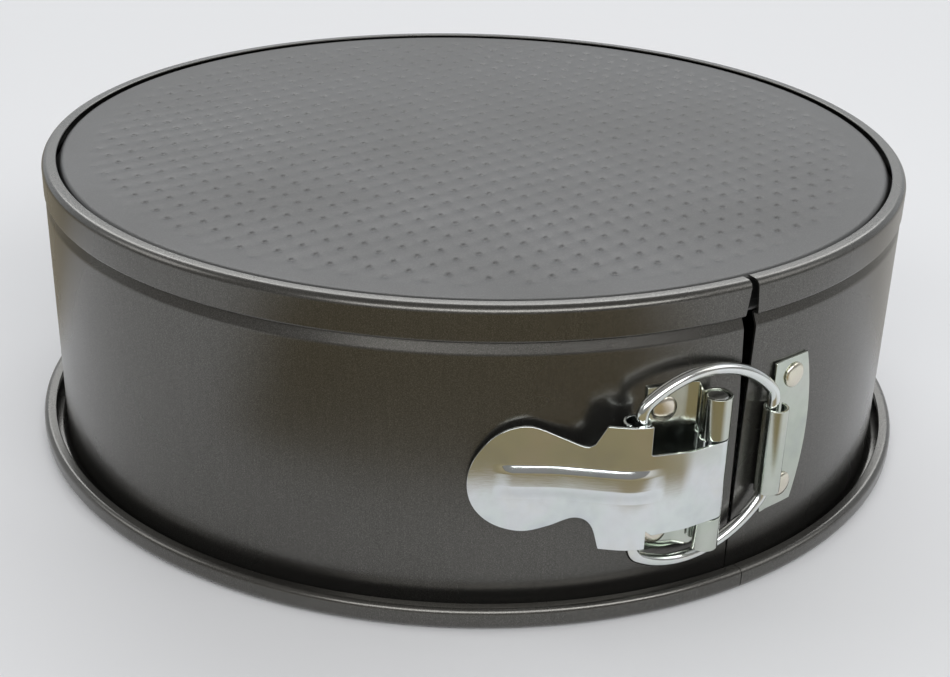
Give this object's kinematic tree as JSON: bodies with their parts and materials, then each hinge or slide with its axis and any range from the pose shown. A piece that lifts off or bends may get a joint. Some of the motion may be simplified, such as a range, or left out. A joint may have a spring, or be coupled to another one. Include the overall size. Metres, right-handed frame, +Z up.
{
  "type": "springform cake pan",
  "caption": "Round springform cake pan lying mouth down, with a dimpled loose base on top and a riveted over-centre lever latch across the split in its side band.",
  "frame": {"origin": "on the pan's axis, in the plane its curled mouth rim rests on", "axes": "+Z up, from the mouth to the base plate; -Y towards the split in the band and its latch; +X towards the band's free end"},
  "size_m": [0.2106, 0.2115, 0.067],
  "materials": {
    "nonstick_band": "semi-gloss dark nonstick coating with a fine vertical grain",
    "nonstick_base": "satin dark grey nonstick coating over pressed dimples",
    "zinc_plate": "bright zinc plated steel sheet",
    "zinc_pin": "bright zinc plated steel rod",
    "zinc_lever": "polished zinc plated pressed steel",
    "zinc_wire": "bright zinc plated spring wire",
    "nickel_rivet": "nickel plated, slightly warm, domed head"
  },
  "bodies": {
    "ring": {"band": "nonstick_band", "hinge_plate": "zinc_plate", "hinge_pin": "zinc_pin", "hinge_rivet_upper": "nickel_rivet", "hinge_rivet_lower": "nickel_rivet"},
    "lever": {"lever": "zinc_lever"},
    "band_end": {"bracket": "zinc_plate", "bracket_rivet_upper": "nickel_rivet", "bracket_rivet_lower": "nickel_rivet"},
    "bail": {"bail": "zinc_wire"},
    "base": {"base_plate": "nonstick_base"}
  },
  "joints": [
    {"name": "lever_hinge", "type": "hinge", "parent": "ring", "child": "lever", "pos_m": [-0.00976, -0.10324, 0.0293], "axis": [0, 0, 1], "range_deg": [0, 135]},
    {"name": "band_spring", "type": "hinge", "parent": "ring", "child": "band_end", "pos_m": [0, 0.1, 0.0335], "axis": [0, 0, 1], "range_deg": [0, 6.6], "deforming": ["band"]},
    {"name": "bail_hinge", "type": "hinge", "parent": "band_end", "child": "bail", "pos_m": [0.00604, -0.1022, 0.0313], "axis": [0, 0, 1], "range_deg": [0, 24.09]},
    {"name": "base_slide", "type": "slide", "parent": "ring", "child": "base", "axis": [0, 0, 1], "range_m": [0, 0.03]}
  ],
  "couplings": [
    {"joint": "band_spring", "follows": "lever_hinge", "ratio": 0.048815},
    {"joint": "bail_hinge", "follows": "lever_hinge", "ratio": 0.17837}
  ]
}
